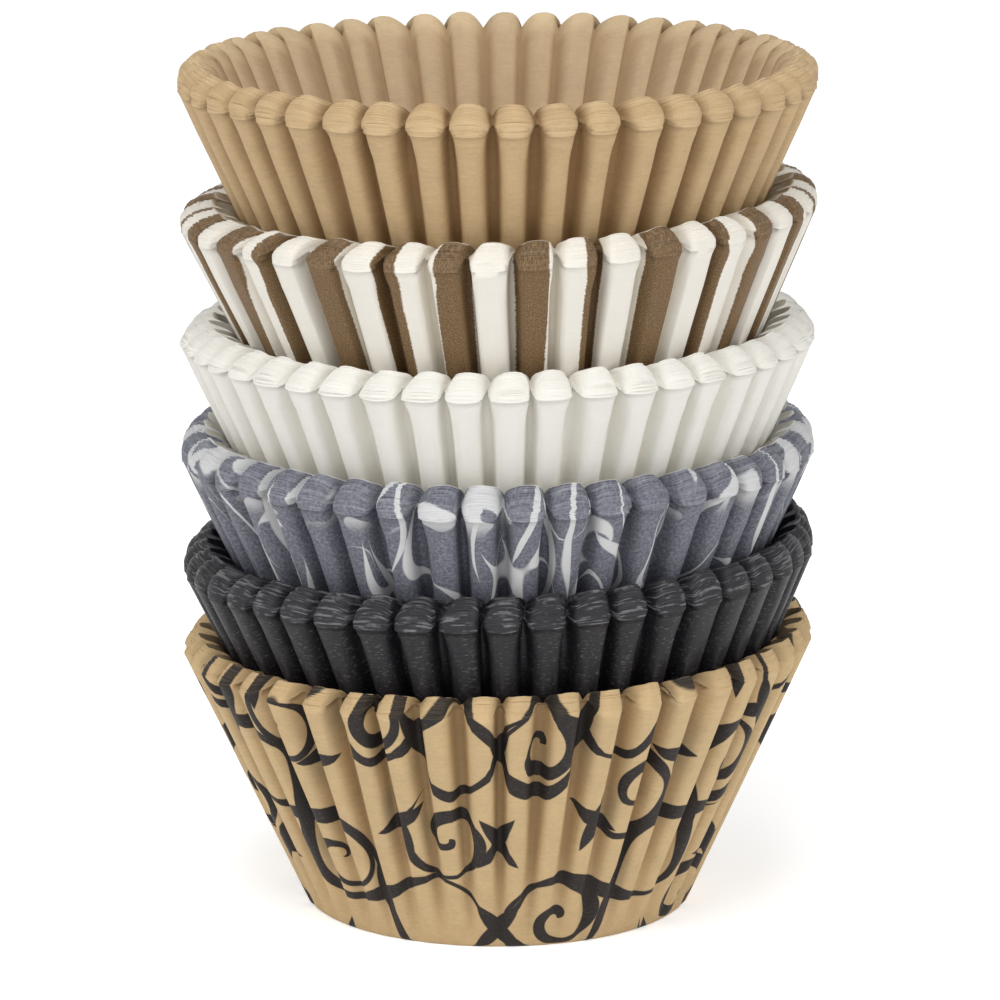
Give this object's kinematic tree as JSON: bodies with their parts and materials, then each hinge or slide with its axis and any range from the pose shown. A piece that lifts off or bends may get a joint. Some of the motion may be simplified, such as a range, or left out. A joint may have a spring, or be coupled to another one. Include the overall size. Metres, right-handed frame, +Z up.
{
  "type": "stack of cupcake liners",
  "caption": "Free-standing column of fluted paper baking cups: nests of pressed liners in plain, striped, swirled and patterned papers stand one in another.",
  "frame": {"origin": "centre of the flat underside of the bottom nest's floor, where the stack stands", "axes": "+Z up along the column, -Y towards the viewer in the usual front view, +X to the viewer's right; the flutes have no front of their own"},
  "size_m": [0.0785, 0.0784, 0.1063],
  "materials": {
    "patterned_kraft_paper": "unbleached greaseproof paper, matt, with dark brown printed line ornament",
    "black_paper": "dyed black greaseproof paper, faint sheen with fine fibre glints",
    "slate_swirl_paper": "white paper printed slate grey-blue with thin reserved white swirls, matt",
    "white_paper": "bleached greaseproof paper, warm white, matt",
    "striped_paper": "white paper printed with speckled brown stripes up the wall, matt",
    "plain_kraft_paper": "unbleached greaseproof paper, matt, unprinted"
  },
  "bodies": {
    "root": {"patterned_kraft_nest": "patterned_kraft_paper", "black_nest": "black_paper", "slate_swirl_nest": "slate_swirl_paper", "white_nest": "white_paper", "striped_nest": "striped_paper", "plain_kraft_nest": "plain_kraft_paper"}
  },
  "joints": []
}
